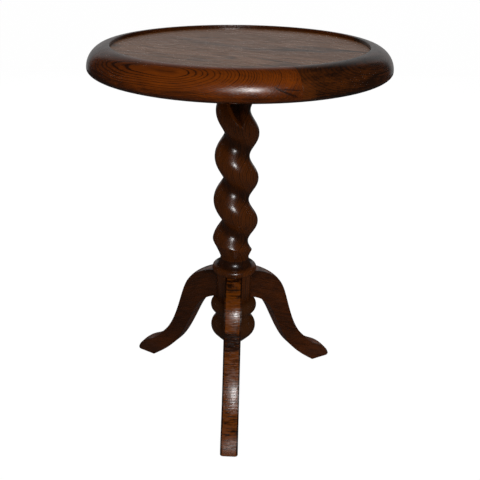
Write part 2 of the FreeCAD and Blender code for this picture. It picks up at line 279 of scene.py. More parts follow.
# How far the rings sway and ripple along a log, and how deep the grain lies under the lacquer.
sway_reach = 0.016
ripple_reach = 0.0014
relief = 0.0003


def oak(name, heart, grain, ring, pale, deep, ring_strength=0.6, streak=0.25, blotch=0.35,
        gloss=0.27, bump_strength=0.35, crook=(0.0, 0.0), marks=None, scuffs=None):
    """Stained oak under satin lacquer. heart is a point on the log's middle line, grain the turns
    that lay the X axis along it and ring the width of one year's growth, in metres. crook bends
    the log on either side of the heart point. marks gives places that are darker, or paler where
    it is below zero, and scuffs places that are duller."""
    material, graph, place, shader = new_finish(name)
    log = graph.node("ShaderNodeMapping", {"vector_type": "TEXTURE"},
                     {"Vector": place, "Location": heart, "Rotation": grain})

    def grained(shortening, scale, detail=2.0, rough=0.5):
        """Noise that is drawn out along the grain."""
        drawn_out = graph.node("ShaderNodeVectorMath", {"operation": "MULTIPLY"},
                               {0: log, 1: (shortening, 1.0, 1.0)})
        return noise(graph, drawn_out, scale, detail, rough)

    along, across, inwards = log.parts()
    sway = (grained(0.35, 9.0) - 0.5) * sway_reach
    ripple = (grained(0.3, 60.0) - 0.5) * ripple_reach
    radius = (across * across + inwards * inwards).math("SQRT")
    before = along.math("MINIMUM", 0.0)
    after = along.math("MAXIMUM", 0.0)
    bend = before * before * crook[0] + after * after * crook[1]
    years = (radius + bend + sway + ripple) / ring
    years = years + line_noise(graph, years * 0.37, 2.0) * 1.3
    spring_line = graph.node("ShaderNodeValToRGB", {"stops": year_tones},
                             {"Fac": years.math("FRACT")})
    year_depth = line_noise(graph, years.math("FLOOR") * 1.7, 0.0)
    lines = spring_line * (0.35 + year_depth * 1.1)
    vessels = grained(0.045, 900.0, 1.0).between(0.56, 0.72) * (0.35 + spring_line * 0.65)
    fibre = grained(0.03, 420.0, 3.0, 0.65)
    cloud = grained(0.5, 11.0, 3.0, 0.6)
    mottle = grained(0.3, 130.0, 2.0, 0.6)
    darkness = lines * ring_strength + vessels * 0.45 + (fibre - 0.5) * streak * 2.0
    darkness = darkness + (mottle - 0.5) * streak * 2.4 + (cloud - 0.5) * blotch * 2.0
    if marks:
        darkness = darkness + marks(graph, place)
    darkness = darkness.math("MAXIMUM", 0.0).math("MINIMUM", 1.0)
    roughness = gloss + (cloud - 0.5) * 0.1 + (mottle - 0.5) * streak * 0.5 + vessels * 0.15
    if scuffs:
        roughness = roughness + scuffs(graph, place)
    height = 0.0 - vessels * 0.6 - lines * 0.3 + fibre * 0.1
    bump = graph.node("ShaderNodeBump", {},
                      {"Height": height, "Strength": bump_strength, "Distance": relief})
    blend(graph, darkness, pale, deep).feed(shader["Base Color"])
    roughness.feed(shader["Roughness"])
    bump.feed(shader["Normal"])
    return material


same_point = 1e-6


def finished(name, mesh, nodes, material, crease=35.0):
    """Makes a piece of a mesh: on the root body, in place of its plain solids."""
    shaped = bmesh.new()
    shaped.from_mesh(mesh)
    bmesh.ops.remove_doubles(shaped, verts=shaped.verts, dist=same_point)
    bmesh.ops.recalc_face_normals(shaped, faces=shaped.faces)
    shaped.to_mesh(mesh)
    shaped.free()
    for face in mesh.polygons:
        face.use_smooth = True
    mesh.set_sharp_from_angle(angle=math.radians(crease))
    piece = bpy.data.objects.new(name, mesh)
    scene.collection.objects.link(piece)
    mesh.materials.clear()
    mesh.materials.append(material)
    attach(piece, "root")
    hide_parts(*nodes)
    return piece


sharp_edge = math.radians(40.0)


def eased(piece, width, segments=2):
    """Rounds the sharp edges of a piece a little."""
    bevel = piece.modifiers.new("eased_edges", "BEVEL")
    bevel.width = width
    bevel.segments = segments
    bevel.limit_method = "ANGLE"
    bevel.angle_limit = sharp_edge
    bevel.harden_normals = True


def oval_quarter(middle, radii, start, steps):
    """A quarter of an oval in the section's plane, from a turn in quarters on to the next."""
    turns = [math.pi / 2 * (start + i / steps) for i in range(steps + 1)]
    return [(middle[0] + radii[0] * math.cos(t), middle[1] + radii[1] * math.sin(t)) for t in turns]


def turn_from_front(degrees):
    """Turn from the X axis of an angle counted from the front leg towards the right."""
    return math.radians(degrees - 90.0)


def from_front(degrees):
    """Direction at an angle counted from the front leg towards the right."""
    turn = turn_from_front(degrees)
    return math.cos(turn), math.sin(turn)


def band(first, second, count):
    """Faces between two closed rows of as many points."""
    return [(first + k, first + (k + 1) % count, second + (k + 1) % count, second + k)
            for k in range(count)]


rim_radius = 0.22998
rim_top = 0.6125
rim_widest = 0.5805
rim_bottom = 0.5685
lower_round = 0.012
lower_round_start = 0.197
upper_round = 0.032
upper_round_start = 0.1965
tray_radius = 0.194
tray_edge_round = 0.0015
boards_bottom = 0.5895
ledge_radius = 0.181
rim_section = oval_quarter((lower_round_start, rim_widest),
                           (rim_radius - lower_round_start, lower_round), 3, 12)
rim_section += oval_quarter((upper_round_start, rim_widest),
                            (rim_radius - upper_round_start, upper_round), 0, 20)[1:]
rim_section += oval_quarter((tray_radius + tray_edge_round, rim_top - tray_edge_round),
                            (tray_edge_round, tray_edge_round), 1, 5)
rim_section += [(tray_radius, boards_bottom), (ledge_radius, boards_bottom),
                (ledge_radius, rim_bottom)]


def rim_length(first_turn, last_turn, steps):
    """Mesh of one curved length between two joints."""
    points = []
    for i in range(steps + 1):
        x, y = from_front(first_turn + (last_turn - first_turn) * i / steps)
        points += [(x * r, y * r, z) for r, z in rim_section]
    count = len(rim_section)
    faces = [tuple(reversed(range(count))), tuple(steps * count + k for k in range(count))]
    for i in range(steps):
        faces += band(i * count, (i + 1) * count, count)
    return new_mesh("rim_length", points, faces)


# The joints on either side of the length at the right, in radians from the front, and the turn
# in which the stain changes there.
front_joint = 0.366
right_joint = 1.936
joint_change = 0.001


def rim_wear_and_painted_shade(graph, place):
    """Darker low down, painted shade inside by the tray and towards the left, a blotchy length on
    the right that is paler by its joint, worn spots, a short dark crack and a pale scratch."""
    x, y, z = place.parts()
    turn = x.math("ARCTAN2", 0.0 - y)
    spots = noise(graph, place, 70.0, 3.0, 0.7)
    rolled_out = graph.node("ShaderNodeCombineXYZ", {}, {"X": turn * 4.0, "Y": z * 240.0})
    streaks = noise(graph, rolled_out, 1.0, 3.0)
    before_joint = 1 - turn.between(front_joint, front_joint + joint_change)
    blotched = (1 - before_joint) * (1 - turn.between(right_joint, right_joint + joint_change))
    low = 1 - z.between(0.574, 0.596)
    high = z.between(0.602, 0.611)
    # Painted shade: darker towards the left end, away from the lamps.
    left = (1 - turn.between(-0.92, -0.42)) * turn.between(-2.6, -1.3)
    # Painted shade on the inner edge and wall by the tray.
    inner = 1 - (x * x + y * y).math("SQRT").between(0.1943, 0.1965)
    by_joint = blotched * (1 - turn.between(0.400, 0.475)) * (1 - z.between(0.594, 0.603) * 0.6)
    shaded = (1 - blotched) * z.between(0.590, 0.601)
    shaded = shaded * turn.between(0.290, front_joint) * (1 - turn.between(0.40, 0.41))
    right = turn.between(0.10, 0.30) * (1 - z.between(0.590, 0.599)) * before_joint

    def line(first, last, height, fall, half_width):
        """A thin line along the rim that falls towards its end."""
        beside = abs(z - height + (turn - first) * fall + (spots - 0.5) * 0.0015)
        in_reach = turn.between(first - 0.02, first + 0.02)
        in_reach = in_reach * (1 - turn.between(last - 0.02, last + 0.02))
        return (1 - beside.between(half_width * 0.5, half_width * 1.6)) * in_reach

    crack = line(0.215, 0.325, 0.5922, 0.0955, 0.0010)
    crack = crack + line(0.25, 0.35, 0.5912, 0.027, 0.0006) * 0.5
    scratch = line(0.26, 0.60, 0.5993, 0.012, 0.0004)
    blotches = blotched * (0.62 + (spots - 0.5) * 0.6 + (streaks - 0.5) * 0.6)
    # In this sum, the left and inner terms are painted shade.
    darkened = low * (0.5 - turn.between(0.02, 0.22) * 0.3) + high * 0.12
    darkened = darkened + left * 0.56 + right * 0.35 + inner * 0.4 + shaded * 0.3
    streaked = (streaks - 0.5) * (0.35 + low * 1.1)
    rubbed = by_joint * 0.45 + scratch * 0.2 + spots.between(0.66, 0.74) * 0.25
    return darkened + blotches + streaked + crack * 0.9 - rubbed


# Each length's log: its heart's turn from the front, distance from the axis and height, its slope
# in degrees, its crook, and how wide and strong its rings are.
rim_lengths = [
    {"name": "rim_piece_1", "first_turn": 21.0, "heart": (58.0, 0.270, 0.690), "slope": 3.0,
     "crook": (0.0, 0.0), "ring": 0.0022, "ring_strength": 0.35,
     "pale": (0.068, 0.0158, 0.0014), "deep": (0.008, 0.0024, 0.0007)},
    {"name": "rim_piece_2", "first_turn": 111.0, "heart": (158.0, 0.275, 0.700), "slope": -2.0,
     "crook": (0.3, -0.4), "ring": 0.0026, "ring_strength": 0.6,
     "pale": (0.070, 0.0150, 0.0013), "deep": (0.012, 0.0030, 0.0007)},
    {"name": "rim_piece_3", "first_turn": 201.0, "heart": (250.0, 0.268, 0.695), "slope": 2.0,
     "crook": (-0.4, 0.3), "ring": 0.0023, "ring_strength": 0.6,
     "pale": (0.056, 0.0125, 0.0013), "deep": (0.012, 0.0030, 0.0007)},
    {"name": "rim_piece_4", "first_turn": 291.0, "heart": (337.4, 0.2914, 0.7000), "slope": 0.0,
     "crook": (-1.15, 0.95), "ring": 0.0017, "ring_strength": 0.80,
     "pale": (0.130, 0.0255, 0.0010), "deep": (0.015, 0.0034, 0.0007)}]
for length in rim_lengths:
    name = length["name"]
    heart_turn, outward, height = length["heart"]
    x, y = from_front(heart_turn)
    stain = oak(name, (x * outward, y * outward, height),
                (0.0, math.radians(length["slope"]), math.radians(heart_turn)), length["ring"],
                length["pale"], length["deep"], ring_strength=length["ring_strength"], gloss=0.21,
                bump_strength=0.25, crook=length["crook"], marks=rim_wear_and_painted_shade)
    mesh = rim_length(length["first_turn"], length["first_turn"] + 90.0, 64)
    eased(finished(name, mesh, [name], stain), 0.0003)


# Tray floor: five edge-glued oak boards, planed level and let into the rim five millimetres below
# its top. Their edges are barely eased, so each joint shows as a hairline.
tray_level = 0.6075
floor_radius = 0.1937
board_turn = math.radians(-28.0)

# Each board's tone, and how far its log's heart lay to the side of its middle and above its face.
boards = [((0.138, 0.0510, 0.0135), 0.03, -0.075), ((0.152, 0.0570, 0.0155), -0.02, -0.11),
          ((0.131, 0.0480, 0.0130), 0.012, -0.06), ((0.152, 0.0560, 0.0145), -0.03, 0.09),
          ((0.140, 0.0510, 0.0135), 0.02, -0.12)]
board_width = 2 * floor_radius / len(boards)


def along_boards(x, y):
    """Turns a point from the boards' direction to its place on the table."""
    cosine, sine = math.cos(board_turn), math.sin(board_turn)
    return x * cosine - y * sine, x * sine + y * cosine


def strip_of_disc(radius, low, high, bottom, top, steps):
    """A board cut to a circle, between two parallel edges."""
    low_reach = math.sqrt(max(radius ** 2 - low ** 2, 0.0))
    high_reach = math.sqrt(max(radius ** 2 - high ** 2, 0.0))
    first = math.atan2(low, low_reach)
    last = math.atan2(high, high_reach)
    turns = [first + (last - first) * i / steps for i in range(steps + 1)]
    outline = [(radius * math.cos(t), radius * math.sin(t)) for t in turns]
    outline += [(-x, y) for x, y in reversed(outline)]
    count = len(outline)
    points = [(*along_boards(x, y), z) for z in (bottom, top) for x, y in outline]
    faces = [tuple(reversed(range(count))), tuple(range(count, 2 * count))]
    return new_mesh("tray_board", points, faces + band(0, count, count))


def dark_vein(graph, place):
    """A darker vein that wanders over the middle of the top, and small dark pores near it."""
    x, y, _ = place.parts()
    wander = noise(graph, place, 28.0, 3.0)
    pores = noise(graph, place, 420.0, 2.0)
    middle = (-0.010 - x * 0.72).math("SMOOTH_MAX", -0.028 - x * 0.05, 0.02)
    beside = abs(y - middle + (wander - 0.5) * 0.035)
    near = (1 - beside.between(0.0, 0.024)) * x.between(-0.10, -0.05) * (1 - x.between(0.14, 0.19))
    return near * (0.28 + pores.between(0.45, 0.65) * 0.5)


for number, (tone, aside, over) in enumerate(boards, 1):
    name = "tray_board_%d" % number
    low = -floor_radius + (number - 1) * board_width
    heart = (*along_boards(0.0, low + board_width / 2 + aside), tray_level + over)
    stain = oak(name, heart, (0.0, math.radians(0.8), board_turn), 0.0032, tone,
                tuple(c * 0.15 for c in tone), ring_strength=0.7, streak=0.5, gloss=0.29,
                bump_strength=0.9, marks=dark_vein)
    mesh = strip_of_disc(floor_radius, low, low + board_width, boards_bottom, tray_level, 24)
    eased(finished(name, mesh, [name], stain), 0.00025)


# Bearer: a square oak block glued and screwed under the boards, with its lower edges chamfered.
# The column's tenon comes up through the hole in its middle.
bearer_low = 0.5655
bearer_half = 0.085
bearer_chamfer = 0.007
tenon_hole = 0.01615


def bearer_mesh(steps):
    """Square block with chamfered lower edges and a round hole."""
    turns = [2 * math.pi * k / steps for k in range(steps)]
    rows = []
    for half, z in ((bearer_half - bearer_chamfer, bearer_low),
                    (bearer_half, bearer_low + bearer_chamfer), (bearer_half, boards_bottom)):
        reaches = [half / max(abs(math.cos(t)), abs(math.sin(t))) for t in turns]
        rows.append([(r * math.cos(t), r * math.sin(t), z) for r, t in zip(reaches, turns)])
    for z in (boards_bottom, bearer_low):
        rows.append([(tenon_hole * math.cos(t), tenon_hole * math.sin(t), z) for t in turns])
    points = [(*along_boards(x, y), z) for row in rows for x, y, z in row]
    faces = []
    for r in range(len(rows)):
        faces += band(r * steps, (r + 1) % len(rows) * steps, steps)
    return new_mesh("bearer_block", points, faces)


bearer_stain = oak("bearer_block", (0.0, 0.0, 0.66), (0.0, 0.0, board_turn), 0.0034,
                   (0.060, 0.0170, 0.0058), (0.016, 0.0046, 0.0018), ring_strength=0.5, gloss=0.5)
eased(finished("bearer_block", bearer_mesh(64), ["bearer_block"], bearer_stain),
      0.0006)


# Bearer screws: four slotted steel screws, sunk level with the block's underside near its corners.
# One screw is turned from a section and set at each corner of a square.
def node_group(name, numbers):
    """An empty geometry tree with named numbers as inputs, and what to call them by."""
    tree = bpy.data.node_groups.new(name, "GeometryNodeTree")
    tree.interface.new_socket("Geometry", in_out="INPUT", socket_type="NodeSocketGeometry")
    tree.interface.new_socket("Geometry", in_out="OUTPUT", socket_type="NodeSocketGeometry")
    for label, value in numbers.items():
        kind = "NodeSocketInt" if isinstance(value, int) else "NodeSocketFloat"
        tree.interface.new_socket(label, in_out="INPUT", socket_type=kind)
    source = tree.nodes.new("NodeGroupInput")
    return tree, {s.name: Sum(tree, s) for s in source.outputs if s.name}


def grown(name, tree, numbers, geometry, mesh):
    """The plain mesh that a geometry tree makes of a starting mesh."""
    geometry.feed(tree.nodes.new("NodeGroupOutput").inputs["Geometry"])
    start = bpy.data.objects.new(name, mesh)
    scene.collection.objects.link(start)
    modifier = start.modifiers.new(name, "NODES")
    modifier.node_group = tree
    for item in tree.interface.items_tree:
        if item.in_out == "INPUT" and item.name in numbers:
            modifier[item.identifier] = numbers[item.name]
    bpy.context.view_layer.update()
    evaluated = start.evaluated_get(bpy.context.evaluated_depsgraph_get())
    result = bpy.data.meshes.new_from_object(evaluated)
    bpy.data.objects.remove(start)
    return result


def lathe(tree, inputs):
    """Grid that winds the tree's section once round the Z axis: its geometry, turn, radius and
    height."""
    graph = Sum(tree)
    section = inputs["Geometry"]
    rows = graph.node("GeometryNodeAttributeDomainSize", {"component": "MESH"},
                      {"Geometry": section}, "Point Count")
    grid = graph.node("GeometryNodeMeshGrid", {},
                      {"Size X": 1.0, "Size Y": 1.0, "Vertices X": inputs["Round Steps"] + 1,
                       "Vertices Y": rows}, "Mesh")
    here = graph.node("GeometryNodeInputPosition")
    x, y, _ = here.parts()
    row = ((y + 0.5) * (rows - 1)).math("ROUND")
    spot = graph.node("GeometryNodeSampleIndex", {"data_type": "FLOAT_VECTOR"},
                      {"Geometry": section, "Value": here, "Index": row}, "Value")
    radius, _, height = spot.parts()
    return grid, (x + 0.5) * (2 * math.pi), radius, height


weld_distance = 0.000002


def wound(tree, grid, turn, radius, height, material):
    """Closes a wound grid to a smooth skin with its material."""
    graph = Sum(tree)
    spot = graph.node("ShaderNodeCombineXYZ", {}, {"X": radius * turn.math("COSINE"),
                                                   "Y": radius * turn.math("SINE"), "Z": height})
    skin = graph.node("GeometryNodeSetPosition", {}, {"Geometry": grid, "Position": spot})
    closed = graph.node("GeometryNodeMergeByDistance", {},
                        {"Geometry": skin, "Distance": weld_distance})
    plain = graph.node("GeometryNodeRealizeInstances", {}, {"Geometry": closed})
    return graph.node("GeometryNodeSetMaterial", {}, {"Geometry": plain, "Material": material})


def section_mesh(name, section):
    """A section's points as a line of vertices, radius on X and height on Z."""
    edges = [(i, i + 1) for i in range(len(section) - 1)]
    return new_mesh(name, [(r, 0.0, z) for r, z in section], [], edges)


steel, steel_graph, steel_place, steel_shader = new_finish("bearer_screws")
steel_spots = noise(steel_graph, steel_place, 900.0, 3.0)
steel_shader["Metallic"].default_value = 1.0
steel_colour = blend(steel_graph, steel_spots.between(0.45, 0.7), (0.42, 0.41, 0.39),
                     (0.20, 0.16, 0.12))
steel_colour.feed(steel_shader["Base Color"])
(0.3 + steel_spots * 0.3).feed(steel_shader["Roughness"])

# Radii of a screw's head and shank, and how far above its face the cone, thread and point end.
screw_head = 0.0046
screw_shank = 0.0024
screw_cone = 0.0032
screw_thread = 0.034
screw_tip = 0.036
screw_section = [(0.0, 0.0), (screw_head, 0.0), (screw_shank, screw_cone),
                 (screw_shank, screw_thread), (0.0, screw_tip)]
screw_sizes = {"Corner Distance": 0.061, "Slot Length": 0.02, "Slot Width": 0.0011,
               "Slot Depth": 0.0012, "Round Steps": 32}
screw_tree, screw = node_group("bearer_screws", screw_sizes)
screw_skin = wound(screw_tree, *lathe(screw_tree, screw), steel)
screw_graph = Sum(screw_tree)
slot_size = screw_graph.node("ShaderNodeCombineXYZ", {},
                             {"X": screw["Slot Length"], "Y": screw["Slot Width"],
                              "Z": screw["Slot Depth"] * 2.0})
slot_block = screw_graph.node("GeometryNodeMeshCube", {}, {"Size": slot_size}, "Mesh")
slotted = screw_graph.node("GeometryNodeMeshBoolean", {"operation": "DIFFERENCE"},
                           {"Mesh 1": screw_skin, "Mesh 2": slot_block}, "Mesh")
side = screw["Corner Distance"] * 2.0
corner_grid = screw_graph.node("GeometryNodeMeshGrid", {},
                               {"Size X": side, "Size Y": side, "Vertices X": 2,
                                "Vertices Y": 2}, "Mesh")
screws = screw_graph.node("GeometryNodeInstanceOnPoints", {},
                          {"Points": corner_grid, "Instance": slotted})
screws = screw_graph.node("GeometryNodeRealizeInstances", {}, {"Geometry": screws})
screws = screw_graph.node("GeometryNodeSetMaterial", {}, {"Geometry": screws, "Material": steel})
screw_mesh = grown("bearer_screws", screw_tree, screw_sizes, screws,
                   section_mesh("screw_section", screw_section))
screw_mesh.transform(Matrix.Translation((0.0, 0.0, bearer_low))
                     @ Matrix.Rotation(board_turn, 4, "Z"))
finished("bearer_screws", screw_mesh, ["bearer_screws"], steel)


# Column: one turned length of oak. A tenon and a small capital meet the block, one left-hand strand
# of barley twist runs between two round necks, and a collar stands over the plain round hub.
hub_radius = 0.0303
hub_edge_round = 0.0004
hub_bottom = 0.175
hub_top = 0.228
neck_low = 0.256
neck_high = 0.5455
neck_low_radius = 0.0238
neck_high_radius = 0.0215
ridge_radius = 0.0359
lower_cup_height = 0.036
upper_cup_height = 0.024
blank_limit = 0.045
tenon_radius = 0.016
tenon_top = 0.5892
capital_radius = 0.0380
twist_sizes = {"Pitch": 0.0751, "First Ridge Turn": turn_from_front(79.0),
               "First Ridge Height": hub_bottom, "Ridge Radius": ridge_radius,
               "Groove Radius": 0.0209, "Girth Height": 0.430, "Taper Per Metre": 0.436,
               "Fullness": 0.00055, "Cup Softness": 0.0025, "Core Slope": 0.35,
               "Lower Neck": neck_low, "Upper Neck": neck_high,
               "Lower Neck Radius": neck_low_radius, "Upper Neck Radius": neck_high_radius,
               "Cut Foot Height": 0.486, "Cut Foot Turn": turn_from_front(17.0),
               "Cut Height": 0.038, "Cut Lean": math.radians(56.0), "Cut Sweep": 0.03,
               "Cut Width": math.radians(60.0), "Cut Depth": 0.0095, "Round Steps": 160}


def round_through(start, middle, end, steps):
    """Points on the circle through three points of a section."""
    (ax, ay), (bx, by), (cx, cy) = start, middle, end
    a, b, c = ax * ax + ay * ay, bx * bx + by * by, cx * cx + cy * cy
    d = 2 * (ax * (by - cy) + bx * (cy - ay) + cx * (ay - by))
    ux = (a * (by - cy) + b * (cy - ay) + c * (ay - by)) / d
    uy = (a * (cx - bx) + b * (ax - cx) + c * (bx - ax)) / d
    radius = math.hypot(ax - ux, ay - uy)
    first = math.atan2(ay - uy, ax - ux)
    sweep = (math.atan2(cy - uy, cx - ux) - first) % (2 * math.pi)
    over = (math.atan2(by - uy, bx - ux) - first) % (2 * math.pi)
    if over > sweep:
        sweep -= 2 * math.pi
    turns = [first + sweep * i / steps for i in range(steps + 1)]
    return [(ux + radius * math.cos(t), uy + radius * math.sin(t)) for t in turns]


def turned(start, curves):
    """A run of round curves in a section. Each has a point on its way, its end and its steps."""
    section = [start]
    for middle, end, steps in curves:
        section += round_through(start, middle, end, steps)[1:]
        start = end
    return section


def blank_radius(height):
    """Outer radius to which the twist's ends were turned before the strand was cut: each is a cup
    that opens away from its neck."""
    over = max((height - neck_low) / lower_cup_height, 0.0)
    under = max((neck_high - height) / upper_cup_height, 0.0)
    lower = neck_low_radius + (ridge_radius * 1.12 - neck_low_radius) * over ** 1.15
    upper = neck_high_radius + (ridge_radius * 1.05 - neck_high_radius) * under ** 0.8
    return min(lower, upper, blank_limit)


column_section = [(0.0, hub_bottom), (hub_radius - hub_edge_round, hub_bottom),
                  (hub_radius, hub_bottom + hub_edge_round), (hub_radius, hub_top)]
column_section += turned((0.0332, hub_top), [
    ((0.0381, 0.23505), (0.0340, 0.2413), 16),           # collar
    ((0.02737, 0.24659), (0.0241, neck_low), 12)])       # cove under the lower neck
twist_rows = 240
for i in range(twist_rows + 1):
    height = neck_low + (neck_high - neck_low) * i / twist_rows
    column_section.append((blank_radius(height), height))
column_section += turned((0.0218, neck_high), [
    ((0.0230, 0.5471), (0.02675, 0.5475), 5),            # fillet over the upper neck
    ((0.0320, 0.5515), (0.02675, 0.5555), 12),           # bead
    ((0.02825, 0.55875), (capital_radius, 0.5605), 8)])  # hollow of the capital
column_section += [(capital_radius, bearer_low), (tenon_radius, bearer_low),
                   (tenon_radius, tenon_top), (0.0, tenon_top)]


def painted_shade_and_lip_highlight(graph, place):
    """Painted shade: darker in the grooves, in the cut that starts the twist's groove, in the cove
    and
    over the hub, and a painted highlight: a pale line along the cut's lip."""
    x, y, z = place.parts()
    distance = (x * x + y * y).math("SQRT")
    groove = (1 - distance.between(0.0205, 0.0290)) * z.between(neck_low, neck_low + 0.01)
    cut = (1 - distance.between(0.0150, 0.0200)) * z.between(0.480, 0.490)
    cove = (1 - z.between(neck_low - 0.002, neck_low)) * z.between(0.2405, 0.2440)
    hub = 1 - z.between(hub_top - 0.002, hub_top + 0.004)
    rise = (z - twist_sizes["Cut Foot Height"]) / twist_sizes["Cut Height"]
    lip_turn = twist_sizes["Cut Foot Turn"] + 0.02 - \
        rise * (twist_sizes["Cut Lean"] + twist_sizes["Cut Sweep"])
    beside = abs(y.math("ARCTAN2", x) - lip_turn)
    lip = (1 - beside.between(0.02, 0.08)) * rise.between(0.0, 0.25)
    lip = lip * (1 - rise.between(0.95, 1.05))
    # groove, cut, cove and hub are painted shade, and lip is a painted highlight.
    return 0.38 + groove * 0.48 + cut * 0.65 + cove * 0.48 + hub * 0.04 - lip * 1.2


# The column's colour carries painted shade in its grooves, cut, cove and hub, and a painted
# highlight along the cut's lip.
column_stain_and_painted_light = oak("column", (-0.058, 0.012, 0.3), (0.0, math.radians(90.0), math.radians(3.0)),
                   0.0021, (0.068, 0.0162, 0.0017), (0.008, 0.0024, 0.0007), ring_strength=0.5,
                   streak=0.2, blotch=0.28, gloss=0.24, bump_strength=0.1, marks=painted_shade_and_lip_highlight)
twist_tree, twist = node_group("barley_twist", twist_sizes)
grid, turn, blank, height = lathe(twist_tree, twist)
climb = (height - twist["First Ridge Height"]) / twist["Pitch"]
phase = turn - (twist["First Ridge Turn"] - climb * (2 * math.pi))
middle_radius = (twist["Ridge Radius"] + twist["Groove Radius"]) / 2
swing = (twist["Ridge Radius"] - twist["Groove Radius"]) / 2
wave = phase.math("COSINE") * swing + twist["Fullness"] * (1 - (phase * 2).math("COSINE"))
girth = 1 - twist["Taper Per Metre"] * (height - twist["Girth Height"])
strand = (middle_radius + wave) * girth
carved = strand.math("SMOOTH_MIN", blank, twist["Cup Softness"])
lower_core = twist["Lower Neck Radius"] - twist["Core Slope"] * (height - twist["Lower Neck"])
upper_core = twist["Upper Neck Radius"] - twist["Core Slope"] * (twist["Upper Neck"] - height)
carved = carved.math("MAXIMUM", lower_core.math("MAXIMUM", upper_core))

# The cut that starts the groove: its lip leans over with height, and it runs out above.
rise = ((height - twist["Cut Foot Height"]) / twist["Cut Height"]).math("MAXIMUM", 0.0)
cut_lip = twist["Cut Foot Turn"] - twist["Cut Lean"] * rise.math("MINIMUM", 1.1) - \
    rise * twist["Cut Sweep"]
round_turn = turn.math("WRAP", math.pi * 0.5, -math.pi * 1.5)
over_cut = (round_turn - cut_lip) / (twist["Cut Width"] * rise.math("MAXIMUM", 0.1))
cut = over_cut.between(0.0, 0.20) * (1 - over_cut.between(0.45, 1.0))
cut = cut * rise.between(0.0, 0.45) * (1 - rise.between(1.1, 1.45)) * twist["Cut Depth"]
in_twist = height.math("GREATER_THAN", twist["Lower Neck"] + 0.00001) * \
    height.math("LESS_THAN", twist["Upper Neck"] - 0.00001)
column_radius = blank + in_twist * (carved - cut - blank)
column_geometry = wound(twist_tree, grid, turn, column_radius, height, column_stain_and_painted_light)
column_mesh = grown("column", twist_tree, twist_sizes, column_geometry,
                    section_mesh("column_section", column_section))
finished("column", column_mesh, ["column"], column_stain_and_painted_light, 50.0)


# Drop: a bead, a neck and a bun with a blunt point, turned from one piece of the same oak. Its
# spigot is glued into the hub, and its flat top closes the legs' sockets.
spigot_radius = 0.010
spigot_top = hub_bottom + 0.026
drop_point = 0.077
drop_section = [(0.0, spigot_top), (spigot_radius, spigot_top), (spigot_radius, hub_bottom)]
drop_section += turned((0.029, hub_bottom), [
    ((0.040, 0.16327), (0.030, 0.1495), 22),             # bead
    ((0.0287, 0.1435), (0.0302, 0.1375), 8),             # neck
    ((0.0392, 0.12301), (0.03332, 0.1060), 22),          # bun
    ((0.02336, 0.09498), (0.011, 0.08367), 12),          # its lower side
    ((0.00682, 0.07932), (0.0025, drop_point), 5)])      # blunt point
drop_section += [(0.0, drop_point)]
drop_sizes = {"Round Steps": 96}
drop_stain = oak("drop_finial", (0.05, 0.035, 0.1), (0.0, math.radians(90.0), 0.0), 0.0022,
                 (0.031, 0.0092, 0.0018), (0.008, 0.0025, 0.0007), ring_strength=0.5, blotch=0.3,
                 gloss=0.26, bump_strength=0.2)
drop_tree, drop = node_group("drop_finial", drop_sizes)
drop_geometry = wound(drop_tree, *lathe(drop_tree, drop), drop_stain)
drop_mesh = grown("drop_finial", drop_tree, drop_sizes, drop_geometry,
                  section_mesh("drop_section", drop_section))
finished("drop_finial", drop_mesh, ["drop_finial"], drop_stain, 50.0)


# Legs: three S-shaped legs sawn from flat oak boards to one template, with eased edges. Each end is
# hollowed to the round hub and held there by a sliding dovetail.
leg_half = 0.01425
leg_top = 0.2277
leg_reach = 0.211
heel_reach = 0.1715
leg_crown = 0.0014
crown_fade_points = 8
toe_corner = 0.005
toe_length = 0.012
toe_height = 0.003
toe_bulge = 0.0004
toe_steps = 4
sole_round = 0.003
sole_cut = 0.00088
hub_clearance = 0.00015
leg_columns = 14

# The template's two curves, as shares of the way from the hub to the toe or heel, and of the height
# at the hub.
outer_shares = [(0.0, 1.0), (0.098, 0.978), (0.195, 0.939), (0.292, 0.8795), (0.359, 0.798),
                (0.398, 0.716), (0.445, 0.595), (0.5, 0.47), (0.59, 0.3325), (0.6625, 0.26),
                (0.765, 0.18), (0.856, 0.138), (0.928, 0.099), (0.972, 0.057)]
inner_shares = [(0.0, 1.0), (0.125, 0.949), (0.249, 0.851), (0.351, 0.699), (0.484, 0.468),
                (0.621, 0.283), (0.814, 0.1206), (1.0, 0.0)]


def smooth_line(points, steps):
    """A smooth curve through points that bends evenly, as a thin batten does."""
    spans = [math.dist(a, b) for a, b in zip(points, points[1:])]
    chords = [tuple((b[c] - a[c]) / span for c in (0, 1))
              for a, b, span in zip(points, points[1:], spans)]
    last = len(points) - 1
    pivots = []
    loads = []
    for i in range(last + 1):
        before = 1 / spans[i - 1] if i > 0 else 0.0
        after = 1 / spans[i] if i < last else 0.0
        earlier, later = chords[max(i - 1, 0)], chords[min(i, last - 1)]
        load = [3 * (before * earlier[c] + after * later[c]) for c in (0, 1)]
        pivot = 2 * (before + after)
        if i > 0:
            pivot -= before * before / pivots[-1]
            load = [load[c] - before * loads[-1][c] / pivots[-1] for c in (0, 1)]
        pivots.append(pivot)
        loads.append(load)
    slopes = [None] * (last + 1)
    slopes[last] = [load / pivots[last] for load in loads[last]]
    for i in range(last - 1, -1, -1):
        slopes[i] = [(loads[i][c] - slopes[i + 1][c] / spans[i]) / pivots[i] for c in (0, 1)]
    line = []
    for i in range(last):
        ends = (points[i], slopes[i], points[i + 1], slopes[i + 1])
        for k in range(steps):
            t = k / steps
            weights = (2 * t ** 3 - 3 * t ** 2 + 1, (t ** 3 - 2 * t ** 2 + t) * spans[i],
                       3 * t ** 2 - 2 * t ** 3, (t ** 3 - t ** 2) * spans[i])
            line.append(tuple(sum(w * end[c] for w, end in zip(weights, ends)) for c in (0, 1)))
    return line + [tuple(points[-1])]


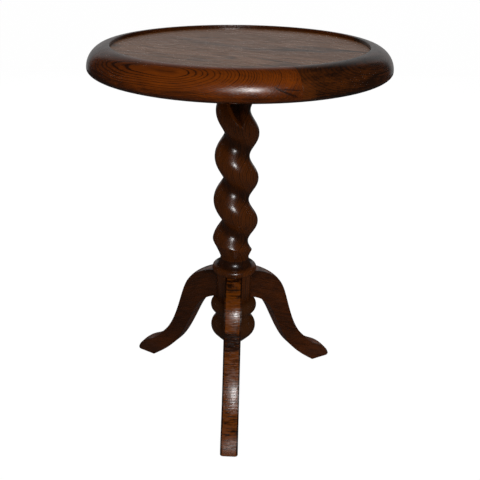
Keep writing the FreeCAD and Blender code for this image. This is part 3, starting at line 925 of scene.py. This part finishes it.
def leg_mesh(turn):
    """One leg, made towards the front and turned to its place. Its outer face is slightly crowned
    across and the toe's corners are rounded off."""
    outer = [(hub_radius + (leg_reach - hub_radius) * a, leg_top * b) for a, b in outer_shares]
    inner = [(hub_radius + (heel_reach - hub_radius) * a, hub_bottom * b) for a, b in inner_shares]
    toe_top = outer[-1]
    toe_tip = (leg_reach, toe_height)
    bend = ((leg_reach + toe_top[0]) / 2 + toe_bulge, (toe_top[1] + toe_height) / 2)
    outline = smooth_line(outer, 8)
    crowned = len(outline)
    outline += round_through(toe_top, bend, toe_tip, toe_steps)[1:]
    outline += round_through(toe_tip, (leg_reach - sole_cut, sole_cut),
                             (leg_reach - sole_round, 0.0), toe_steps)[1:]
    outline += reversed(smooth_line(inner, 12))
    count = len(outline)
    points = []
    for i in range(leg_columns + 1):
        x = leg_half * math.sin(math.pi * (i / leg_columns - 0.5))
        near_side = max(abs(x) - (leg_half - toe_corner), 0.0)
        trimmed = toe_corner - math.sqrt(toe_corner ** 2 - near_side ** 2)
        for k, (r, z) in enumerate(outline):
            if k < crowned:
                before, after = outline[max(k - 1, 0)], outline[k + 1]
                length = math.dist(before, after)
                fall = leg_crown * (x / leg_half) ** 2 * min(1.0, (crowned - k) / crown_fade_points)
                r += fall * (after[1] - before[1]) / length
                z -= fall * (after[0] - before[0]) / length
            r -= trimmed * min(max((r - leg_reach + toe_length) / toe_length, 0.0), 1.0)
            if k in (0, count - 1):
                r = math.sqrt((hub_radius + hub_clearance) ** 2 - x * x)
            points.append((x, -r, z))
    faces = [tuple(range(count)),
             tuple(reversed(range(leg_columns * count, (leg_columns + 1) * count)))]
    for i in range(leg_columns):
        near, far = i * count, (i + 1) * count
        for k in range(count):
            n = (k + 1) % count
            faces.append((near + k, far + k, far + n, near + n))
    mesh = new_mesh("leg", points, faces)
    mesh.transform(Matrix.Rotation(math.radians(turn), 4, "Z"))
    return mesh


def worn_arris_and_painted_shade(turn, band_low, band_high, band_strength):
    """Sawn sides that took the stain darker, dark long edges with a paler line inside them, fine
    cross lines on the shaped faces, a paler knee, painted shade at the top under the collar, and a
    darker band between two heights."""
    across = (math.cos(math.radians(turn)), math.sin(math.radians(turn)), 0.0)

    def mask(graph, place):
        aside = graph.node("ShaderNodeVectorMath", {"operation": "DOT_PRODUCT"},
                           {0: place, 1: across}, "Value")
        _, _, z = place.parts()
        spots = noise(graph, place, 90.0, 3.0)
        reach = abs(aside) + (spots - 0.5) * 0.002
        side = abs(aside).between(leg_half - 0.0004, leg_half - 0.0001)
        edge = reach.between(leg_half - 0.0034, leg_half - 0.0018)
        rubbed = reach.between(leg_half - 0.0055, leg_half - 0.0040) * (1 - edge)
        ragged = z + (spots - 0.5) * 0.004
        darkened = ragged.between(band_low, band_low + 0.008)
        darkened = darkened * (1 - ragged.between(band_high - 0.008, band_high)) * (1 - side)
        flat = graph.node("ShaderNodeCombineXYZ", {}, {"X": aside * 0.07, "Y": z})
        cuts = (noise(graph, flat, 560.0, 1.5, 0.6).between(0.38, 0.64) - 0.45) * (1 - edge)
        foot = side * (1 - z.between(0.020, 0.095))
        # Painted shade at the leg's top, under the collar.
        under_collar_shade = z.between(0.212, 0.224)
        knee = z.between(0.172, 0.190) * (1 - z.between(0.206, 0.214)) * (1 - side)
        # The term for the leg's top under the collar is painted shade.
        worn = edge * 0.95 - side * 0.25 - foot * 0.2 - rubbed * 0.22 + under_collar_shade * 0.35 - knee * 0.22
        return worn + darkened * band_strength + cuts * 1.05
    return mask


def scuffed_toe(graph, place):
    """The lacquer is worn dull near the floor, and duller along the fine cross lines."""
    x, y, z = place.parts()
    spots = noise(graph, place, 260.0, 3.0)
    flat = graph.node("ShaderNodeCombineXYZ", {}, {"X": x * 0.2, "Y": y * 0.2, "Z": z})
    lines = noise(graph, flat, 420.0, 2.0, 0.6).between(0.44, 0.62)
    return (1 - z.between(0.015, 0.045)) * 0.23 + (spots - 0.5) * 0.12 + lines * 0.16 - 0.05


# Each leg's turn from the front, its dark band's two heights and strength, and its wood.
legs = [
    {"name": "leg_front", "turn": 0.0, "band": (0.131, 0.167, 1.15), "ring_strength": 0.6,
     "pale": (0.092, 0.0218, 0.0015), "deep": (0.009, 0.0026, 0.0008)},
    {"name": "leg_right", "turn": 120.0, "band": (0.120, 0.150, 0.1), "ring_strength": 0.35,
     "pale": (0.078, 0.0170, 0.0016), "deep": (0.012, 0.0034, 0.0009)},
    {"name": "leg_left", "turn": 240.0, "band": (0.110, 0.150, 0.1), "ring_strength": 0.35,
     "pale": (0.055, 0.0125, 0.0015), "deep": (0.010, 0.0030, 0.0009)}]
for leg in legs:
    name, turn = leg["name"], leg["turn"]
    x, y = from_front(turn)
    stain = oak(name, (x * 0.03, y * 0.03, 0.05),
                (0.0, math.radians(24.0), math.radians(turn - 90.0)), 0.0021, leg["pale"],
                leg["deep"], ring_strength=leg["ring_strength"], streak=0.3, gloss=0.235,
                bump_strength=0.5, marks=worn_arris_and_painted_shade(turn, *leg["band"]), scuffs=scuffed_toe)
    eased(finished(name, leg_mesh(turn), [name], stain, 30.0), 0.0015, 3)


# Joinery inside: the loose tongues in the rim's joints and the wedge in the column's tenon, both of
# plain beech. They keep their own solids, and only their wood is shown.
def beech(name, grain):
    """Plain beech with small flecks along its grain."""
    material, graph, place, shader = new_finish(name)
    stretched = graph.node("ShaderNodeMapping", {"vector_type": "TEXTURE"},
                           {"Vector": place, "Rotation": grain, "Scale": (12.0, 1.0, 1.0)})
    flecks = noise(graph, stretched, 700.0, 3.0)
    colour = blend(graph, flecks.between(0.35, 0.7), (0.44, 0.29, 0.18), (0.30, 0.18, 0.10))
    colour.feed(shader["Base Color"])
    (0.5 + flecks * 0.2).feed(shader["Roughness"])
    return material


for name, grain in (("rim_tongues", (0.0, 0.0, 0.4)),
                    ("tenon_wedge", (0.0, math.radians(90.0), 0.0))):
    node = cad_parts[name]
    node.data.materials.clear()
    node.data.materials.append(beech(name, grain))
